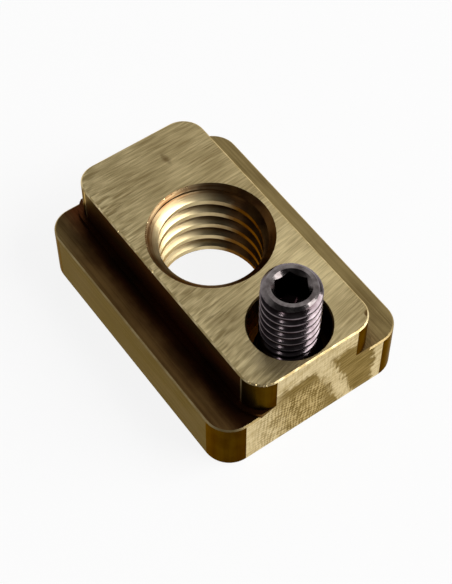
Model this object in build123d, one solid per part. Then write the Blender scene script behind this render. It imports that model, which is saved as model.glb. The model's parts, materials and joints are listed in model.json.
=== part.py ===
"""T slot nut with a jacking set screw.

A machined brass T block slides in an extrusion's slot. Its wide flange bears under the slot's
lips and its narrow boss sits between them. A large thread near the middle takes the bolt, and a
small socket set screw near one end stands in a counterbore: driven down, its tip comes out of
the underside and locks the nut in its slot.

Millimetres. The origin is the centre of the underside, +Z goes up through the boss and +X
points to the set screw's end.
"""
from build123d import *
from math import cos, pi, radians, tan
import os

# T block
block_length = 20.5
flange_width = 14.3
flange_height = 4.1
flange_corner_radius = 1.8
boss_width = 9.4
boss_height = 3.1                # above the flange
boss_corner_radius = 1.6
foot_step_width = 0.35           # low step left by the cutter round the boss
foot_step_height = 0.3
edge_break = 0.1                 # deburred outer edges

# Bolt hole, tapped M8 right through
bolt_hole_diameter = 6.8         # over the thread's crests
bolt_mouth_diameter = 8.4        # countersunk at both faces
bolt_hole_shift = 1.05           # away from the set screw's end

# Set screw, M4
screw_diameter = 3.85            # over the thread's crests
screw_length = 10.0
screw_stand_out = 4.0            # above the boss at rest
screw_crown_diameter = 3.1       # flat ring left by the chamfer at the socket end
screw_point_diameter = 2.5       # flat point
socket_across_flats = 2.0
socket_depth = 2.5
socket_turn = 30.0               # as the screw happens to stand, from +X
socket_mouth_diameter = 2.55     # countersunk for the key
socket_drill_angle = 120.0

# Set screw's hole
screw_clearance = 0.03           # radial, over the thread's crests
counterbore_diameter = 5.3
counterbore_depth = 3.0
counterbore_end_wall = 0.3       # thin wall left at the end face
hole_countersink = 0.3           # at the counterbore's floor and at the underside

# Places that follow from the sizes above
top = flange_height + boss_height
bolt_hole_radius = bolt_hole_diameter / 2
screw_hole_radius = screw_diameter / 2 + screw_clearance
screw_x = block_length / 2 - counterbore_end_wall - counterbore_diameter / 2
screw_top = top + screw_stand_out
overcut = 1.0                    # cutters run this far past the faces they open


def prism(width, corner_radius, z_low, z_high):
    """A bar as long as the block, its corner radius kept just under half its width."""
    outline = RectangleRounded(block_length, width, min(corner_radius, 0.49 * width))
    return Pos(0, 0, z_low) * extrude(outline, z_high - z_low)


def flange():
    """The wide base bar, with its upper and lower outlines deburred."""
    bar = prism(flange_width, flange_corner_radius, 0, flange_height)
    rims = bar.edges().group_by(Axis.Z)
    return chamfer(rims[0] + rims[-1], edge_break)


def boss():
    """The narrow upper bar, rooted in the flange, with its top outline deburred."""
    bar = prism(boss_width, boss_corner_radius, flange_height / 2, top)
    return chamfer(bar.edges().group_by(Axis.Z)[-1], edge_break)


def foot_step():
    """The boss's outline grown by the step's width and trimmed flush with the block's ends."""
    root = flange_height / 2
    outline = RectangleRounded(block_length, boss_width, boss_corner_radius)
    grown = offset(outline, foot_step_width)
    step = Pos(0, 0, root) * extrude(grown, flange_height + foot_step_height - root)
    return step & prism(flange_width, flange_corner_radius, root, top)


def countersink(x, z, radius, depth, up):
    """A 45 degree mouth cutter: it opens out from radius to radius + depth at height z."""
    if up:
        return Pos(x, 0, z - depth / 2) * Cone(radius, radius + depth, depth)
    return Pos(x, 0, z + depth / 2) * Cone(radius + depth, radius, depth)


def drill(x, radius, z_low, z_high):
    """A plain round cutter between two heights."""
    return Pos(x, 0, (z_low + z_high) / 2) * Cylinder(radius, z_high - z_low)


def bolt_hole():
    """The tapped through hole at its thread's crests, countersunk at both faces."""
    mouth = bolt_mouth_diameter / 2 - bolt_hole_radius
    x = -bolt_hole_shift
    return (drill(x, bolt_hole_radius, -overcut, top + overcut)
            + countersink(x, top, bolt_hole_radius, mouth, True)
            + countersink(x, 0, bolt_hole_radius, mouth, False))


def screw_hole():
    """The set screw's hole: a counterbore, the threaded length below it and its two mouths."""
    floor = top - counterbore_depth
    return (drill(screw_x, screw_hole_radius, -overcut, top + overcut)
            + drill(screw_x, counterbore_diameter / 2, floor, top + overcut)
            + countersink(screw_x, top, counterbore_diameter / 2, edge_break, True)
            + countersink(screw_x, floor, screw_hole_radius, hole_countersink, True)
            + countersink(screw_x, 0, screw_hole_radius, hole_countersink, False))


def nut_body():
    """The brass block with its two holes."""
    return flange() + foot_step() + boss() - bolt_hole() - screw_hole()


def screw_blank():
    """The set screw's turned outline: flat point, full diameter, chamfered crown."""
    radius = screw_diameter / 2
    crown = screw_crown_diameter / 2
    point = screw_point_diameter / 2
    outline = Polyline((0, 0), (point, 0), (radius, radius - point),
                       (radius, screw_length - (radius - crown)), (crown, screw_length),
                       (0, screw_length), close=True)
    half_section = Plane.XZ * make_face(outline)
    return revolve(half_section, Axis.Z)


def key_socket():
    """The hexagon socket's cutter: countersunk mouth, six flats and a drilled end."""
    flat = socket_across_flats / 2
    corner = flat / cos(pi / 6)
    floor = screw_length - socket_depth
    outline = Rot(0, 0, socket_turn) * RegularPolygon(corner, 6)
    hexagon = Pos(0, 0, floor) * extrude(outline, socket_depth + overcut)
    drill_depth = flat / tan(radians(socket_drill_angle / 2))
    drill_point = Pos(0, 0, floor - drill_depth / 2) * Cone(0, flat, drill_depth)
    mouth = socket_mouth_diameter / 2 - flat
    return hexagon + drill_point + countersink(0, screw_length, flat, mouth, True)


def set_screw():
    """The socket set screw at rest in its hole, its thread drawn at the crests."""
    return Pos(screw_x, 0, screw_top - screw_length) * (screw_blank() - key_socket())


pieces = {"nut_body": nut_body, "set_screw": set_screw}

os.makedirs("parts", exist_ok=True)
for name, make in pieces.items():
    solid = make()
    export_step(solid, f"parts/{name}.step")
    size = solid.bounding_box().size
    print(f"{name}: {solid.volume:.2f} mm3, {size.X:.2f} x {size.Y:.2f} x {size.Z:.2f} mm")
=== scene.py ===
# %% [markdown]
# # A T slot nut with a jacking set screw
# The real object is a small milled brass block: a wide flange below, a narrower boss above,
# a tapped hole for the bolt and a dark socket set screw that stands in a counterbore.
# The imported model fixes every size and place. This lesson cuts the real threads into it,
# gives each face the finish its cutter left, and lights it like a small product shot.

# %% Load the frame
import json
import math

import bpy
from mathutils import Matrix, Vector


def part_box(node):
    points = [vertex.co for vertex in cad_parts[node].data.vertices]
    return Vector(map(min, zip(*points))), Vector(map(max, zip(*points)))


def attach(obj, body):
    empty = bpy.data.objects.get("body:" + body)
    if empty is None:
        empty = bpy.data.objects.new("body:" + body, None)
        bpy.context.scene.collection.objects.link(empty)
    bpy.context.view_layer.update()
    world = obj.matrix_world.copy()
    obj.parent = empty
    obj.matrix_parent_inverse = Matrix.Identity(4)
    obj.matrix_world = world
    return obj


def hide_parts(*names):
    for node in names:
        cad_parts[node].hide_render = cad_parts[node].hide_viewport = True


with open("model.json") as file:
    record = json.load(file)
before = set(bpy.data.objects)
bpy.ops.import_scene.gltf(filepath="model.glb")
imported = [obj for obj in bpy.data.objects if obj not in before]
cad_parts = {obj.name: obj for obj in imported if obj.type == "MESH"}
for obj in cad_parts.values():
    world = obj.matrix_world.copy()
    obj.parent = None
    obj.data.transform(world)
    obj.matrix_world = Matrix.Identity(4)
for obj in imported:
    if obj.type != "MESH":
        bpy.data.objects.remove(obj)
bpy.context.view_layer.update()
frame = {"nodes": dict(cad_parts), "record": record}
mm = 0.001
print("pieces in the frame:", sorted(frame["nodes"]))

# %% [markdown]
# ## The camera and the plain set
# The nut is looked down on steeply, from the set screw's end and a little to its left side.
# The camera is placed by its direction from the point it aims at, so the view is two angles
# and a distance. The set is only a pale floor, which is laid near the end.

# %% Camera
aim = Vector((-0.53, 0.82, 0.62)) * mm
camera_azimuth = math.radians(54.4)
camera_elevation = math.radians(55.4)
camera_distance = 100.9 * mm
camera_lens = 92.3


def direction(azimuth, elevation):
    """A unit vector that points from the nut to a place in the studio."""
    flat = math.cos(elevation)
    return Vector((math.sin(azimuth) * flat, -math.cos(azimuth) * flat, math.sin(elevation)))


camera_data = bpy.data.cameras.new("camera")
camera_data.lens = camera_lens
camera_data.clip_start = 1 * mm
camera = bpy.data.objects.new("camera", camera_data)
bpy.context.scene.collection.objects.link(camera)
camera.location = aim + camera_distance * direction(camera_azimuth, camera_elevation)
camera.rotation_euler = (aim - camera.location).to_track_quat("-Z", "Y").to_euler()
bpy.context.scene.camera = camera
print("camera height above the floor, mm:", round(camera.location.z / mm, 1))

# %% [markdown]
# ## Writing node trees as sums
# A Math node for every plus sign makes a long script. One small class wraps a socket and
# gives it Python's operators, so a mask is written as `1 - mask`, and one method makes any
# other node. The same pair serves materials and Geometry Nodes.


# %% Sockets and trees
class Socket:
    """An output socket that Python's operators turn into Math nodes."""

    def __init__(self, tree, output):
        self.tree = tree
        self.output = output

    def math(self, operation, *others):
        """A Math node on this value and the others, which may be numbers or sockets."""
        values = [self, *others]
        return self.tree.node("ShaderNodeMath", {"operation": operation}, dict(enumerate(values)))

    def __add__(self, other):
        return self.math("ADD", other)

    def __sub__(self, other):
        return self.math("SUBTRACT", other)

    def __mul__(self, other):
        return self.math("MULTIPLY", other)

    def __truediv__(self, other):
        return self.math("DIVIDE", other)

    def __rsub__(self, other):
        return self.tree.number(other) - self

    def __rtruediv__(self, other):
        return self.tree.number(other) / self

    __radd__ = __add__
    __rmul__ = __mul__

    def ramp(self, low, high, out_low=0.0, out_high=1.0, smooth=True):
        """The value carried from one range to another, clamped at both ends."""
        kind = "SMOOTHSTEP" if smooth else "LINEAR"
        ends = {"Value": self, "From Min": low, "From Max": high, "To Min": out_low, "To Max": out_high}
        return self.tree.node("ShaderNodeMapRange", {"interpolation_type": kind, "clamp": True}, ends)


class Tree:
    """Makes nodes in one node tree and links what it is given."""

    def __init__(self, tree):
        self.tree = tree

    def node(self, kind, settings=None, inputs=None, out=0):
        made = self.tree.nodes.new(kind)
        for name, value in (settings or {}).items():
            setattr(made, name, value)
        for name, value in (inputs or {}).items():
            if isinstance(value, Socket):
                self.tree.links.new(value.output, made.inputs[name])
            else:
                made.inputs[name].default_value = value
        return Socket(self, made.outputs[out]) if made.outputs else made

    def number(self, value):
        return self.node("ShaderNodeMath", {"operation": "ADD"}, {0: value, 1: 0.0})

    def parts(self, vector):
        """A vector's three numbers, each as a socket."""
        split = self.node("ShaderNodeSeparateXYZ", {}, {"Vector": vector})
        return [Socket(self, split.output.node.outputs[axis]) for axis in "XYZ"]


print("operators ready:", [name for name in ("__add__", "__rsub__") if hasattr(Socket, name)])

# %% [markdown]
# ## A threaded bar
# A thread is one rule: the radius rises and falls with the height, and the whole pattern
# climbs one pitch for each turn. So a flat grid is rolled into a bar. Its rows climb with
# the turn, which keeps every ridge on its own row, and the rows past the ends are pressed
# flat on them. The first and last rows close the ends. The bar is a screw by itself, and
# taken out of a block it is a tapped hole.


# %% Threaded bar tree
seam_distance = 2e-4 * mm


def threaded_bar_tree():
    """Geometry Nodes that roll a grid into a closed, right-handed threaded bar along Z."""
    group = bpy.data.node_groups.new("threaded_bar", "GeometryNodeTree")
    sizes = ("Bottom", "Top", "Valley Radius", "Ridge Radius", "Pitch",
             "Valley Flat", "Ridge Flat", "Rounding", "Axis X")
    for name in sizes:
        group.interface.new_socket(name, in_out="INPUT", socket_type="NodeSocketFloat")
    for name in ("Around", "Rows per Pitch"):
        group.interface.new_socket(name, in_out="INPUT", socket_type="NodeSocketInt")
    group.interface.new_socket("Geometry", in_out="OUTPUT", socket_type="NodeSocketGeometry")
    tree = Tree(group)
    given = group.nodes.new("NodeGroupInput")
    size = {item.name: Socket(tree, given.outputs[item.name]) for item in group.interface.items_tree
            if item.in_out == "INPUT"}
    bottom, top, pitch = size["Bottom"], size["Top"], size["Pitch"]
    row_step = pitch / size["Rows per Pitch"]
    rows = ((top - bottom) / row_step).math("CEIL") + size["Rows per Pitch"] + 2
    grid = tree.node("GeometryNodeMeshGrid", {}, {
        "Size X": 1.0, "Size Y": 1.0, "Vertices X": size["Around"] + 1, "Vertices Y": rows + 1})
    grid_x, grid_y, _ = tree.parts(tree.node("GeometryNodeInputPosition"))
    turn = grid_x + 0.5
    along = grid_y + 0.5
    climb = bottom - pitch - row_step + along * rows * row_step
    height = (climb + turn * pitch).math("MAXIMUM", bottom).math("MINIMUM", top)
    phase = (height / pitch - turn).math("FRACT")
    ridge = (phase * 2 - 1).math("ABSOLUTE")
    straight = ridge.ramp(size["Valley Flat"], 1 - size["Ridge Flat"], smooth=False)
    eased = straight.ramp(0, 1)
    rise = straight + (eased - straight) * size["Rounding"]
    radius = size["Valley Radius"] + (size["Ridge Radius"] - size["Valley Radius"]) * rise
    inner = along.math("GREATER_THAN", 0.5 / rows) * along.math("LESS_THAN", 1 - 0.5 / rows)
    radius = radius * inner
    angle = turn * (2 * math.pi)
    rolled = tree.node("ShaderNodeCombineXYZ", {}, {
        "X": size["Axis X"] + radius * angle.math("COSINE"),
        "Y": radius * angle.math("SINE"), "Z": height})
    bar = tree.node("GeometryNodeSetPosition", {}, {"Geometry": grid, "Position": rolled})
    bar = tree.node("GeometryNodeMergeByDistance", {}, {"Geometry": bar, "Distance": seam_distance})
    bar = tree.node("GeometryNodeRealizeInstances", {}, {"Geometry": bar})
    bar = tree.node("GeometryNodeSetMaterial", {}, {"Geometry": bar})
    result = group.nodes.new("NodeGroupOutput")
    group.links.new(bar.output, result.inputs["Geometry"])
    return group


bar_tree = threaded_bar_tree()
print("threaded bar tree:", len(bar_tree.nodes), "nodes")


# %% Meshes from trees and modifiers
def plain_object(name, mesh):
    """A new object at the origin that holds the mesh."""
    made = bpy.data.objects.new(name, mesh)
    bpy.context.scene.collection.objects.link(made)
    return made


def bake(thing, name):
    """The object's evaluated mesh as a plain object, with the source object removed."""
    depsgraph = bpy.context.evaluated_depsgraph_get()
    mesh = bpy.data.meshes.new_from_object(thing.evaluated_get(depsgraph))
    bpy.data.objects.remove(thing)
    return plain_object(name, mesh)


def run_tree(thing, group, values, name):
    """The object put through a tree, whose inputs are set by their sockets' identifiers."""
    modifier = thing.modifiers.new(group.name, "NODES")
    modifier.node_group = group
    for item in group.interface.items_tree:
        if item.in_out == "INPUT" and item.name in values:
            modifier[item.identifier] = values[item.name]
    return bake(thing, name)


def threaded_bar(name, values):
    """One closed threaded bar from the tree."""
    source = plain_object(name + "_source", bpy.data.meshes.new(name + "_source"))
    bar = run_tree(source, bar_tree, values, name)
    print(name, "faces:", len(bar.data.polygons))
    return bar


# %% [markdown]
# ## Cutting one solid with another
# A Boolean modifier with the exact solver joins or cuts closed solids. Each cutter reaches
# past the faces it opens, so no two faces lie on top of each other.


# %% Cutting and joining
weld_distance = 1e-4 * mm


def merged_copy(node, name):
    """A copy of a frame piece with its loose triangles welded into one closed skin."""
    mesh = frame["nodes"][node].data.copy()
    thing = plain_object(name + "_source", mesh)
    weld = thing.modifiers.new("weld", "WELD")
    weld.merge_threshold = weld_distance
    return bake(thing, name)


def combine(body, tool, operation):
    """The body after the tool is added to it, cut from it or kept in common with it."""
    name = body.name
    body.name = name + "_before"
    step = body.modifiers.new("cut", "BOOLEAN")
    step.operation = operation
    step.solver = "EXACT"
    step.object = tool
    result = bake(body, name)
    bpy.data.objects.remove(tool)
    print(name, operation.lower(), "->", len(result.data.polygons), "faces")
    return result


def lathe(name, outline, axis_x, around):
    """A closed solid turned about a vertical axis from (radius, height) pairs."""
    points = [(axis_x + radius * math.cos(2 * math.pi * i / around),
               radius * math.sin(2 * math.pi * i / around), height)
              for radius, height in outline for i in range(around)]
    rings = len(outline)
    faces = [(r * around + i, r * around + (i + 1) % around,
              (r + 1) * around + (i + 1) % around, (r + 1) * around + i)
             for r in range(rings - 1) for i in range(around)]
    faces.append(tuple(reversed(range(around))))
    faces.append(tuple((rings - 1) * around + i for i in range(around)))
    mesh = bpy.data.meshes.new(name)
    mesh.from_pydata(points, [], faces)
    return plain_object(name, mesh)


# %% Sizes read from the frame
nut_low, nut_high = [Vector(corner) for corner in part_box("nut_body")]
screw_low, screw_high = [Vector(corner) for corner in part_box("set_screw")]
mounts = {mount["name"]: mount for mount in frame["record"]["mounts"]}
bolt_x = mounts["main_thread"]["pos_m"][0]
bolt_crest = mounts["main_thread"]["dims"]["r_mm"] * mm
shoulder_height = mounts["left_shoulder"]["pos_m"][2]
screw_x = (screw_low.x + screw_high.x) / 2
screw_radius = (screw_high.x - screw_low.x) / 2
top_z = nut_high.z
end_x = nut_high.x
side_y = nut_high.y
boss_side = 4.7 * mm
boss_corner = 1.6 * mm
counterbore_depth = 3.0 * mm
print("bolt hole at x =", round(bolt_x / mm, 2), "set screw at x =", round(screw_x / mm, 2))

# %% [markdown]
# ## The tapped block
# The frame's block has plain holes. The bolt thread is made as M8 with a pitch of 1.25 mm, so
# its grooves reach 4 mm from the axis. The set screw's hole is first partly filled and then
# tapped with the same helix as the screw, grown by a running clearance.

# %% Bolt thread
bolt_pitch = 1.25 * mm
bolt_root = 4.0 * mm
past_face = 0.4 * mm
tap_core = bolt_crest - 0.06 * mm  # inside the plain hole, whose own wall is left as the crests

bolt_tap = threaded_bar("bolt_tap", {
    "Bottom": nut_low.z - past_face, "Top": nut_high.z + past_face,
    "Valley Radius": tap_core, "Ridge Radius": bolt_root, "Pitch": bolt_pitch,
    "Valley Flat": 0.22, "Ridge Flat": 0.12, "Rounding": 0.35, "Axis X": bolt_x,
    "Around": 120, "Rows per Pitch": 24})

# %% Set screw thread
screw_pitch = 0.7 * mm
screw_thread_depth = 0.4 * mm
thread_clearance = 0.03 * mm
crest_gap = 0.006 * mm
screw_form = {"Pitch": screw_pitch, "Valley Flat": 0.1, "Ridge Flat": 0.14, "Rounding": 0.5,
              "Axis X": screw_x, "Around": 72, "Rows per Pitch": 20}
crest = screw_radius - crest_gap

screw_bar = threaded_bar("screw_bar", {
    **screw_form, "Bottom": screw_low.z - past_face, "Top": screw_high.z + past_face,
    "Valley Radius": crest - screw_thread_depth, "Ridge Radius": crest})

# The plug's ends follow the two countersinks, which lose as much radius as they gain depth
hole_top = top_z - counterbore_depth
filled_radius = screw_radius + 0.2 * mm
inner_radius = 1.5 * mm
countersink_radius = 2.26 * mm
screw_plug = lathe("screw_plug", [
    (inner_radius, countersink_radius - inner_radius),
    (filled_radius, countersink_radius - filled_radius),
    (filled_radius, hole_top - countersink_radius + filled_radius),
    (inner_radius, hole_top - countersink_radius + inner_radius)], screw_x, screw_form["Around"])

screw_tap = threaded_bar("screw_tap", {
    **screw_form, "Bottom": nut_low.z - past_face, "Top": hole_top + past_face,
    "Valley Radius": crest - screw_thread_depth + thread_clearance,
    "Ridge Radius": crest + thread_clearance})

# %% Cut the block and the screw
nut = merged_copy("nut_body", "tapped_block")
nut = combine(nut, bolt_tap, "DIFFERENCE")
nut = combine(nut, screw_plug, "UNION")
nut = combine(nut, screw_tap, "DIFFERENCE")

screw = merged_copy("set_screw", "threaded_set_screw")
screw = combine(screw, screw_bar, "INTERSECT")


# %% Shade the surfaces smoothly between real edges
def smooth_faces(thing, angle):
    """Drop the normals that came with the file, then break the shading at every real edge."""
    mesh = thing.data
    if "custom_normal" in mesh.attributes:
        mesh.attributes.remove(mesh.attributes["custom_normal"])
    mesh.shade_smooth()
    mesh.set_sharp_from_angle(angle=math.radians(angle))
    print(thing.name, "keeps its own normals:", mesh.has_custom_normals)


smooth_faces(nut, 28)
smooth_faces(screw, 38)

# %% [markdown]
# ## A metal's node tree
# Every finish below starts the same way: a place on the piece in millimetres, a few kinds of
# noise drawn out along the cutter's path, and one call that hands colour, roughness and relief
# to the shader. A subclass of the tree keeps those in one place.


# %% Metal finish
class Finish(Tree):
    """A material whose patterns are laid out on the piece in millimetres."""

    def __init__(self, name):
        self.material = bpy.data.materials.new(name)
        self.material.use_nodes = True
        super().__init__(self.material.node_tree)
        self.shader = self.tree.nodes["Principled BSDF"]
        place = self.node("ShaderNodeTexCoord", out="Object")
        self.place = self.vector("SCALE", place, Scale=1 / mm)
        self.x, self.y, self.z = self.parts(self.place)

    def vector(self, operation, *values, **named):
        inputs = {**dict(enumerate(values)), **named}
        return self.node("ShaderNodeVectorMath", {"operation": operation}, inputs)

    def joined(self, x, y, z):
        return self.node("ShaderNodeCombineXYZ", {}, {"X": x, "Y": y, "Z": z})

    def noise(self, per_mm, detail=2.0, shift=0.0, place=None):
        """Noise from 0 to 1 with so many grains per millimetre along each axis."""
        grown = self.vector("MULTIPLY_ADD", place or self.place, per_mm, (shift, shift, shift))
        return self.node("ShaderNodeTexNoise", {}, {"Vector": grown, "Scale": 1.0, "Detail": detail})

    def mix(self, factor, first, second):
        """A colour between two others, each a triple or a link."""
        first, second = [c if isinstance(c, Socket) else (*c, 1) for c in (first, second)]
        return self.node("ShaderNodeMix", {"data_type": "RGBA"}, {0: factor, 6: first, 7: second}, out=2)

    def around(self, axis_x, axis_y=0.0):
        """Distance from an upright axis, and the angle round it in turns."""
        dx, dy = self.x - axis_x, self.y - axis_y
        return (dx * dx + dy * dy).math("SQRT"), dy.math("ARCTAN2", dx) / (2 * math.pi)

    def spot(self, center, reach, soft=0.5):
        """1 inside an ellipsoid, falling to 0 over the soft share of its reach."""
        offset = self.vector("SUBTRACT", self.place, center)
        scaled = self.vector("DIVIDE", offset, reach)
        far = self.node("ShaderNodeVectorMath", {"operation": "LENGTH"}, {0: scaled}, out="Value")
        return far.ramp(1.0, 1.0 - soft)

    def finish(self, color, roughness, relief=None, depth=0.0, rim=(1.0, 0.84, 0.55)):
        """Hand the patterns to the shader: depth in millimetres, rim the tint at a glance."""
        self.shader.inputs["Specular Tint"].default_value = (*rim, 1)
        links = {"Base Color": color, "Roughness": roughness}
        if relief is not None:
            links["Normal"] = self.node("ShaderNodeBump", {}, {
                "Height": relief, "Strength": 1.0, "Distance": depth * mm})
        for name, value in links.items():
            if isinstance(value, Socket):
                self.tree.links.new(value.output, self.shader.inputs[name])
            else:
                self.shader.inputs[name].default_value = value
        self.shader.inputs["Metallic"].default_value = 1.0
        print(self.material.name, "nodes:", len(self.tree.nodes))
        return self.material


# %% [markdown]
# ## Brass, one finish for each tool
# Free-cutting brass is a pale yellow metal that darkens to olive and brown where it is
# handled, and several faces here also carry painted shade and painted highlights. Each face
# keeps the marks of the tool that made it, so the block gets one material for each kind of
# face. A single material with masks would also work, but small ones are easier to read and
# to change.

# %% Brass colours
pale_brass = (0.88, 0.72, 0.39)
brass = (0.72, 0.55, 0.26)
dull_brass = (0.40, 0.30, 0.135)
brown_brass = (0.17, 0.10, 0.036)
deep_brown = (0.045, 0.020, 0.008)


def brushed_top():
    """The boss's top: sanded across its length, with the strokes swinging towards one end."""
    metal = Finish("brushed_top")
    top = top_z / mm
    swing = (metal.x + 9.0) * 0.012
    stroke = metal.joined(metal.x + swing * metal.y, metal.y, 0.0)
    fine = metal.noise((15.0, 0.55, 1.0), 2.0, 3.0, stroke).ramp(0.3, 0.7)
    medium = metal.noise((6.0, 0.45, 1.0), 2.0, 7.0, stroke).ramp(0.32, 0.68)
    broad = metal.noise((0.5, 0.35, 1.0), 2.0, 5.0, stroke).ramp(0.3, 0.7)
    left_side = (metal.y * -1).ramp(1.6, 4.7)
    ragged = metal.noise((3.4, 0.7, 1.0), 1.0, 21.0, stroke).ramp(0.38, 0.6) * left_side
    # Painted highlights: the middle and right side brighter than the two ends, and a spot that lifts the
    # screw's dark reflection at the front left
    wear_and_painted_highlight = metal.spot((4.0, 2.6, top), (6.5, 4.2, 4.0), 1.0)
    wear_and_painted_highlight = wear_and_painted_highlight + metal.spot((8.6, -2.4, top), (3.0, 2.6, 3.0), 1.0) * 0.8
    tone = fine * 0.3 + medium * 0.34 + broad * 0.24 + ragged * 0.5 + wear_and_painted_highlight * 0.42 - left_side * 0.18
    color = metal.mix(tone.ramp(0.12, 1.05, smooth=False), dull_brass, pale_brass)
    wander = metal.noise((2.2, 2.2, 1.0), 3.0, 27.0) - 0.5
    smudge = (metal.spot((-7.8, 1.15, top), (1.0, 0.6, 1.0), 1.0) + wander).ramp(0.3, 1.1) * 0.75
    # The nick is a real notch at the edge, with its shade painted in as a brown spot
    nick = (metal.spot((9.55, 4.4, top), (0.55, 0.5, 1.0), 1.0) + wander).ramp(0.3, 0.6)
    color = metal.mix((smudge + nick).math("MINIMUM", 1.0), color, brown_brass)
    roughness = 0.42 - tone * 0.1
    return metal.finish(color, roughness, fine * 0.6 + medium * 0.5 + ragged * 0.8, 0.008)


def milled_end():
    """The end faces: milled skin with crossed feed marks, and two dark patches on the front that are
    painted reflections.
    """
    metal = Finish("milled_end")
    rows = metal.z * 3.6 + metal.y * 0.9 + metal.noise((0, 0.7, 0.7)) * 2.2
    columns = metal.y * 3.9 - metal.z * 0.3 + metal.noise((0, 0.8, 0.5), 1.0, 4.0) * 2.4
    crossed = (rows * (2 * math.pi)).math("SINE") * 0.14 + (columns * (2 * math.pi)).math("SINE") * 0.16
    crossed = crossed + (metal.noise((1.0, 1.8, 1.8), 5.0, 9.0) - 0.5) * 1.4 + 0.5
    front = metal.x.ramp(-1.0, 1.0)
    slant = metal.joined(metal.x, metal.y, metal.z - metal.y * 0.18)
    strokes = metal.noise((1.0, 0.7, 7.0), 2.0, 13.0, slant)
    upright = metal.noise((1.0, 7.0, 0.8), 2.0, 19.0)
    edge = metal.noise((1.0, 2.2, 2.2), 3.0, 17.0) - 0.5
    # The patches are painted reflections: areas between slanted lines, their borders broken up by the
    # noise
    ragged = edge * 1.3 + (upright - 0.5) * 1.1
    band = metal.y - (5.6 - metal.z) * 0.4 - 0.3
    from_left = metal.y + edge * 2.2 + metal.z * 0.25
    left_patch = (band * -1 + ragged).ramp(0.1, 0.7) * from_left.ramp(-3.8, -0.8)
    right_patch = (band + ragged).ramp(0.5, 1.0) * (metal.y + edge * 1.2).ramp(4.8, 4.5)
    below_strip = (metal.z + edge * 1.4 + (strokes - 0.5) * 0.8 - metal.y * 0.1).ramp(5.9, 5.3)
    reflection_patches = (left_patch + right_patch).math("MINIMUM", 1.0) * below_strip * front
    hatched = metal.z.ramp(4.9, 3.7) * metal.y.ramp(1.4, 0.0) * metal.y.ramp(-5.2, -3.6)
    streaks = (strokes * 0.6 + upright * 0.4).ramp(0.35, 0.6)
    sheen = metal.mix(streaks, (0.51, 0.41, 0.22), (0.74, 0.63, 0.40))
    skin = metal.mix(crossed.ramp(0.6, 0.3) * (0.14 + hatched * 0.62), sheen, (0.26, 0.19, 0.08))
    painted_reflection = metal.mix(strokes.ramp(0.35, 0.65), (0.125, 0.08, 0.024), (0.26, 0.185, 0.072))
    painted_reflection = metal.mix(crossed.ramp(0.4, 0.65) * hatched * 0.8, painted_reflection, (0.60, 0.47, 0.24))
    color = metal.mix(reflection_patches, skin, painted_reflection)
    relief = crossed * (0.2 + hatched * 0.7) + strokes * 0.5 - reflection_patches * 0.4
    return metal.finish(color, 0.40 - reflection_patches * 0.04, relief, 0.012)


def drawn_side():
    """The flange's long sides: a skin painted dark as shade, with faint lines along the bar."""
    metal = Finish("drawn_side")
    lines = metal.noise((0.12, 6.0, 6.0), 2.0, 2.0).ramp(0.3, 0.7)
    cloud = metal.noise((0.35, 0.6, 0.6), 3.0, 6.0).ramp(0.3, 0.7)
    specks = metal.noise((4.0, 4.0, 4.0), 2.0, 8.0).ramp(0.62, 0.72)
    tone = lines * 0.35 + cloud * 0.65
    # Painted shade: the sides are far darker than the brass itself
    color = metal.mix(tone, (0.08, 0.055, 0.024), (0.17, 0.123, 0.06))
    color = metal.mix(specks * 0.35, color, brown_brass)
    return metal.finish(color, 0.42 + cloud * 0.1, lines, 0.004, rim=(0.8, 0.66, 0.42))


def cut_shoulder():
    """The shoulders, the foot step and the boss's long walls: darker near the boss's root, partly
    tarnish and partly painted shade, and painted darker on the left side.
    """
    metal = Finish("cut_shoulder")
    lines = metal.noise((0.1, 7.0, 7.0), 2.0, 11.0).ramp(0.3, 0.7)
    cloud = metal.noise((0.3, 0.7, 0.7), 3.0, 15.0).ramp(0.3, 0.7)
    # Painted shade: the left side, in the boss's shade, gets darker colours, less so towards the back
    left = metal.y.ramp(0.5, -0.5)
    # Near the boss's root the colour turns brown: partly tarnish, partly painted shade, more on the left
    out_from_wall = metal.y.math("ABSOLUTE") + cloud * 0.6 - left * 0.5
    stain_and_painted_shade = out_from_wall.ramp(6.6, 5.1)
    tone = lines * 0.45 + cloud * 0.55
    back = metal.x.ramp(-5.0, -9.5)
    shine = metal.mix(left * (1 - back * 0.6), (0.38, 0.285, 0.12), (0.20, 0.115, 0.038))
    shade = metal.mix(left * (1 - back * 0.6), (0.21, 0.145, 0.055), (0.10, 0.05, 0.016))
    color = metal.mix(tone, shade, shine)
    tarnish_and_shade_brown = metal.mix(cloud, deep_brown, (0.10, 0.026, 0.008))
    color = metal.mix(stain_and_painted_shade * (0.45 + left * 0.5), color, tarnish_and_shade_brown)
    return metal.finish(color, 0.38, lines, 0.005)


def rounded_corner():
    """The upright roundings: painted dark as shade, with upright lines, and a painted highlight line
    where the boss's begin.
    """
    metal = Finish("rounded_corner")
    around = metal.noise((3.0, 3.0, 0.15), 2.0, 31.0).ramp(0.3, 0.7)
    cloud = metal.noise((0.7, 0.7, 0.7), 3.0, 33.0).ramp(0.3, 0.7)
    # The roundings are painted near black, far darker than the brass: painted shade
    color = metal.mix(around * 0.4 + cloud * 0.6, (0.022, 0.0125, 0.003), (0.062, 0.037, 0.0085))
    side = metal.y.math("ABSOLUTE")
    wall = boss_side / mm
    # A thin painted highlight along the start of the boss's roundings
    painted_highlight_line = side.ramp(wall - 0.012, wall - 0.005) * side.ramp(wall + 0.2, wall + 0.1)
    color = metal.mix(painted_highlight_line * 0.9, color, pale_brass)
    return metal.finish(color, 0.33, around, 0.002, rim=(0.72, 0.52, 0.27))


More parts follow.
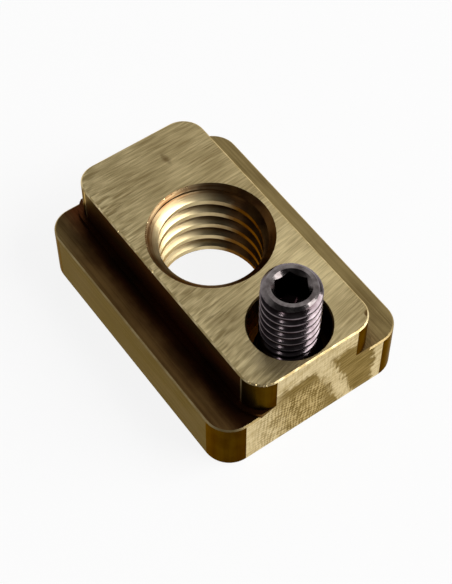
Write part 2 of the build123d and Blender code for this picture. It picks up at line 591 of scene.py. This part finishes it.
def turned_bore(name, axis_x, crest, root, dark, pale, painted_shade_amount):
    """A hole's wall: pale on the crests and painted dark as shade in the grooves, with fine rings on it.
    """
    metal = Finish(name)
    far, turn = metal.around(axis_x)
    unrolled = metal.joined(turn * 6.0, far, metal.z)
    rings = metal.noise((0.25, 9.0, 9.0), 2.0, 5.0, unrolled).ramp(0.3, 0.7)
    cloud = metal.noise((0.8, 0.8, 0.8), 3.0, 12.0).ramp(0.3, 0.7)
    # Painted shade: the grooves are darker than the crests
    tone = far.ramp(root, crest) * 0.7 + rings * 0.15 + cloud * 0.15
    color = metal.mix(tone, dark, pale)
    # A painted brown shade covers the wall's right side, as strongly as asked
    side = (metal.x - axis_x) * 0.45 + metal.y * 0.89 + cloud * 0.8
    stain_and_painted_shade = side.ramp(0.3, 2.4) * painted_shade_amount
    brown = metal.mix(cloud, (0.055, 0.021, 0.007), (0.13, 0.06, 0.016))
    color = metal.mix(stain_and_painted_shade, color, brown)
    return metal.finish(color, 0.3 + cloud * 0.08, rings, 0.003, rim=(0.75, 0.48, 0.24))


def burnished_edge():
    """The deburred edges: bright in stretches, partly burnished and partly painted highlight, and
    painted darker low down on the flange as shade.
    """
    metal = Finish("burnished_edge")
    nicks = metal.noise((1.1, 1.1, 1.1), 3.0, 41.0).ramp(0.35, 0.7)
    # Painted highlight and shade: the edges are lighter high on the boss and darker low on the flange
    wear_and_painted_highlight = metal.z.ramp(4.2, 6.8) * 0.75 + 0.25
    bright = metal.mix(nicks, dull_brass, (0.80, 0.66, 0.38))
    color = metal.mix(wear_and_painted_highlight, (0.22, 0.155, 0.065), bright)
    return metal.finish(color, 0.36, nicks, 0.004)


def sanded_base():
    """The underside: sanded along the bar, a little darker than the top."""
    metal = Finish("sanded_base")
    fine = metal.noise((0.4, 10.0, 1.0), 2.0, 51.0).ramp(0.3, 0.7)
    broad = metal.noise((0.3, 0.8, 1.0), 2.0, 53.0).ramp(0.3, 0.7)
    color = metal.mix(fine * 0.5 + broad * 0.5, dull_brass, brass)
    return metal.finish(color, 0.4, fine, 0.006)


# %% [markdown]
# ## Which face gets which finish
# The block's faces are told apart by where they lie and which way they look. Each face gets
# the number of its finish, so one mesh carries all of them.


# %% Sort the faces
mouth_radius = 4.25 * mm
counterbore_radius = 2.8 * mm
step_height = 0.31 * mm
flat_band = 0.02 * mm  # a face this near the top or the underside lies in it
end_band = 0.15 * mm  # the end face's own faces lie this near to it
outer_band = 0.1 * mm  # the same for the top and the flange's sides


def finish_name(place, normal):
    """The finish of a face at a place, from the way it looks."""
    level = abs(normal.z) > 0.99 and min(abs(place.z - top_z), abs(place.z)) < flat_band
    if not level and math.hypot(place.x - bolt_x, place.y) < mouth_radius:
        return "bolt_thread"
    near_screw = math.hypot(place.x - screw_x, place.y) < counterbore_radius
    if not level and near_screw and place.x < end_x - end_band:
        return "screw_hole"
    if abs(normal.z) < 0.5 and 0 < place.z - shoulder_height < step_height:
        return "shoulder"
    if normal.z > 0.99:
        return "top" if place.z > top_z - outer_band else "shoulder"
    if normal.z < -0.99:
        return "base"
    if abs(normal.z) > 0.3:
        return "edge"
    if abs(normal.x) > 0.999:
        return "end"
    if abs(normal.y) > 0.999:
        return "side" if abs(place.y) > side_y - outer_band else "shoulder"
    return "corner"


def dress_faces(thing, finishes):
    """Give the mesh its materials and number every face with its finish."""
    thing.data.materials.clear()
    names = list(finishes)
    for material in finishes.values():
        thing.data.materials.append(material)
    counts = dict.fromkeys(names, 0)
    for face in thing.data.polygons:
        name = finish_name(face.center, face.normal)
        face.material_index = names.index(name)
        counts[name] += 1
    print(thing.name, "faces by finish:", counts)


dress_faces(nut, {
    "top": brushed_top(), "end": milled_end(), "side": drawn_side(), "shoulder": cut_shoulder(),
    "corner": rounded_corner(), "edge": burnished_edge(), "base": sanded_base(),
    "bolt_thread": turned_bore("tapped_bolt_hole", bolt_x / mm, 3.4, 3.95,
                               (0.13, 0.06, 0.02), (0.70, 0.58, 0.33), 0.97),
    # The counterbore's wall is painted darker than the bore's: painted shade in the recess
    "screw_hole": turned_bore("screw_hole_wall", screw_x / mm, 1.9, 2.3,
                              (0.10, 0.06, 0.022), (0.34, 0.25, 0.11), 0.3)})

# %% [markdown]
# ## Burrs
# The cutters left tiny slivers of brass on a few edges: the boss's left edge, its front left
# corner and the left of the bolt hole's rim. Each is a four-sided flake, set along a path by
# Geometry Nodes with its own turn and size, half sunk into the edge that it hangs on.


# %% Burr tree
def burr_tree():
    """Flakes along the edges of a path mesh, each turned and sized by a seeded random value."""
    group = bpy.data.node_groups.new("edge_burrs", "GeometryNodeTree")
    group.interface.new_socket("Geometry", in_out="INPUT", socket_type="NodeSocketGeometry")
    for name in ("Spacing", "Smallest", "Largest"):
        group.interface.new_socket(name, in_out="INPUT", socket_type="NodeSocketFloat")
    group.interface.new_socket("Seed", in_out="INPUT", socket_type="NodeSocketInt")
    group.interface.new_socket("Geometry", in_out="OUTPUT", socket_type="NodeSocketGeometry")
    tree = Tree(group)
    given = group.nodes.new("NodeGroupInput").outputs
    path, spacing, seed = [Socket(tree, given[name]) for name in ("Geometry", "Spacing", "Seed")]
    curve = tree.node("GeometryNodeMeshToCurve", {}, {"Mesh": path})
    points = tree.node("GeometryNodeCurveToPoints", {"mode": "LENGTH"}, {
        "Curve": curve, "Length": spacing})
    flake = tree.node("GeometryNodeMeshCone", {}, {
        "Vertices": 4, "Radius Top": 0.0, "Radius Bottom": 0.35, "Depth": 1.0})
    turn = tree.node("FunctionNodeRandomValue", {"data_type": "FLOAT_VECTOR"}, {
        0: (1.2, -0.5, 0.0), 1: (1.9, 0.5, 2 * math.pi), "Seed": seed})
    size = tree.node("FunctionNodeRandomValue", {"data_type": "FLOAT"}, {
        2: Socket(tree, given["Smallest"]), 3: Socket(tree, given["Largest"]),
        "Seed": seed + 1}, out=1)
    burrs = tree.node("GeometryNodeInstanceOnPoints", {}, {
        "Points": points, "Instance": flake, "Rotation": turn, "Scale": size})
    burrs = tree.node("GeometryNodeRealizeInstances", {}, {"Geometry": burrs})
    burrs = tree.node("GeometryNodeSetMaterial", {}, {"Geometry": burrs})
    result = group.nodes.new("NodeGroupOutput")
    group.links.new(burrs.output, result.inputs["Geometry"])
    return group


# %% Burr paths and flakes
def arc(center_x, center_y, radius, start, end, height, steps=24):
    """Points along a level arc, its angles in degrees from +X."""
    angles = [math.radians(start + (end - start) * i / steps) for i in range(steps + 1)]
    return [(center_x + radius * math.cos(a), center_y + radius * math.sin(a), height) for a in angles]


def path_mesh(name, paths):
    """Edges from point to point along each path, and no faces."""
    points = [point for path in paths for point in path]
    edges, first = [], 0
    for path in paths:
        edges += [(first + i, first + i + 1) for i in range(len(path) - 1)]
        first += len(path)
    mesh = bpy.data.meshes.new(name)
    mesh.from_pydata(points, edges, [])
    return mesh


burr_height = top_z - 0.03 * mm
burr_inset = 0.06 * mm
rim_radius = 4.17 * mm
left_edge = [(x * mm, burr_inset - boss_side, burr_height) for x in (-8.4, 1.5)]
front_corner = arc(end_x - boss_corner, boss_corner - boss_side, boss_corner - burr_inset,
                   285, 352, burr_height)
hole_rim = arc(bolt_x, 0.0, rim_radius, 165, 248, burr_height)
burr_paths = plain_object("burr_source", path_mesh("burr_paths", [left_edge, front_corner, hole_rim]))
burrs = run_tree(burr_paths, burr_tree(), {
    "Spacing": 0.16 * mm, "Smallest": 0.04 * mm, "Largest": 0.15 * mm, "Seed": 11}, "edge_burrs")
# No sliver stands out past the block's front end
for vertex in burrs.data.vertices:
    vertex.co.x = min(vertex.co.x, end_x)
print("burr faces:", len(burrs.data.polygons))

# %% [markdown]
# ## Blackened steel
# A socket set screw is hardened steel with a thin dark oxide. It is nearly black with a hint
# of purple, shiny on the rolled threads and rubbed grey where a key or a hand has been.


# %% Steel material
def dark_steel():
    metal = Finish("dark_steel")
    cloud = metal.noise((1.6, 1.6, 1.6), 3.0, 5.0).ramp(0.3, 0.7)
    grit = metal.noise((9.0, 9.0, 9.0), 2.0, 9.0).ramp(0.35, 0.65)
    far, _ = metal.around(screw_x / mm)
    flank = far.ramp(1.5, 1.9)
    top = screw_high.z / mm
    crown = metal.z.ramp(top - 0.6, top - 0.1)
    ridges = metal.mix(cloud, (0.115, 0.092, 0.097), (0.20, 0.168, 0.176))
    wear_and_painted_highlight = metal.mix(cloud, (0.13, 0.115, 0.11), (0.34, 0.31, 0.30))
    # Painted shade: the thread roots are near black, the ridges lighter
    color = metal.mix(flank, (0.028, 0.014, 0.016), ridges)
    color = metal.mix(crown * 0.6, color, wear_and_painted_highlight)
    roughness = 0.11 + grit * 0.04 + cloud * 0.06
    return metal.finish(color, roughness, grit * 0.3 + cloud, 0.0015, rim=(0.9, 0.85, 0.9))


def dress(thing, material):
    """Give the object one material and no other."""
    thing.data.materials.clear()
    thing.data.materials.append(material)


dress(screw, dark_steel())
dress(burrs, bpy.data.materials["burnished_edge"])

# %% [markdown]
# ## Floor and light
# Metal shows what stands round it, so two large soft panels are placed where its faces look,
# and a small bright one gives the screw its sparks. The main panel stands behind and to the
# right, which leaves the left shoulder in the boss's shade. The sky is pale near the horizon
# and dark overhead.


# %% Floor
floor_white = 0.88


def pale_floor():
    """A matt floor that looks mostly white by itself, straight on or mirrored in the metal."""
    material = bpy.data.materials.new("pale_floor")
    material.use_nodes = True
    tree = Tree(material.node_tree)
    for node in list(material.node_tree.nodes):
        material.node_tree.nodes.remove(node)
    matt = tree.node("ShaderNodeBsdfDiffuse", {}, {"Color": (0.95, 0.95, 0.95, 1)})
    glow = tree.node("ShaderNodeEmission", {}, {"Color": (1, 1, 1, 1), "Strength": 1.0})
    seen = tree.node("ShaderNodeLightPath", out="Is Camera Ray")
    rays = seen.output.node.outputs
    seen = seen + Socket(tree, rays["Is Glossy Ray"]) + Socket(tree, rays["Is Transmission Ray"])
    mixed = tree.node("ShaderNodeMixShader", {}, {
        0: seen.math("MINIMUM", 1.0) * floor_white, 1: matt, 2: glow})
    tree.node("ShaderNodeOutputMaterial", {}, {"Surface": mixed})
    return material


def floor():
    """A wide square, a hair below the underside so that the two don't lie in one plane."""
    half = 600 * mm
    low = -0.02 * mm
    mesh = bpy.data.meshes.new("floor")
    mesh.from_pydata([(-half, -half, low), (half, -half, low), (half, half, low), (-half, half, low)],
                     [], [(0, 1, 2, 3)])
    ground = plain_object("floor", mesh)
    dress(ground, pale_floor())


floor()


# %% Lamps
def soft_panel(name, toward, distance, width, height, radiance):
    """A rectangular lamp that faces the nut, as bright per unit of area as asked."""
    data = bpy.data.lights.new(name, "AREA")
    data.shape = "RECTANGLE"
    data.size = width
    data.size_y = height
    data.energy = radiance * math.pi * width * height
    lamp = bpy.data.objects.new(name, data)
    bpy.context.scene.collection.objects.link(lamp)
    lamp.location = Vector(toward).normalized() * distance
    lamp.rotation_euler = (-lamp.location).to_track_quat("-Z", "Y").to_euler()
    return lamp


soft_panel("back_panel", (-0.42, 0.50, 0.75), distance=0.5, width=0.30, height=0.30, radiance=0.85)
soft_panel("right_panel", (0.53, 0.60, 0.60), distance=0.6, width=0.55, height=0.42, radiance=6.0)
soft_panel("left_spark", (0.035, -0.5, 0.86), distance=0.4, width=0.03, height=0.03, radiance=8.0)


# %% Sky
def sky():
    """A studio wall: pale low down and dark above."""
    world = bpy.data.worlds.new("studio")
    world.use_nodes = True
    tree = Tree(world.node_tree)
    height = tree.parts(tree.node("ShaderNodeTexCoord", out="Generated"))[2]
    shade = height.ramp(0.15, 0.5, 0.8, 0.05)
    background = world.node_tree.nodes["Background"]
    world.node_tree.links.new(shade.output, background.inputs["Color"])
    return world


bpy.context.scene.world = sky()
bpy.context.scene.view_settings.view_transform = "Standard"

# %% [markdown]
# ## Hand the pieces over
# The block and the screw stand for their frame pieces. The burrs are extra, and ride the nut.

# %% Ride, replace and finish
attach(nut, "nut")
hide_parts("nut_body")
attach(burrs, "nut")
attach(screw, "screw")
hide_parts("set_screw")
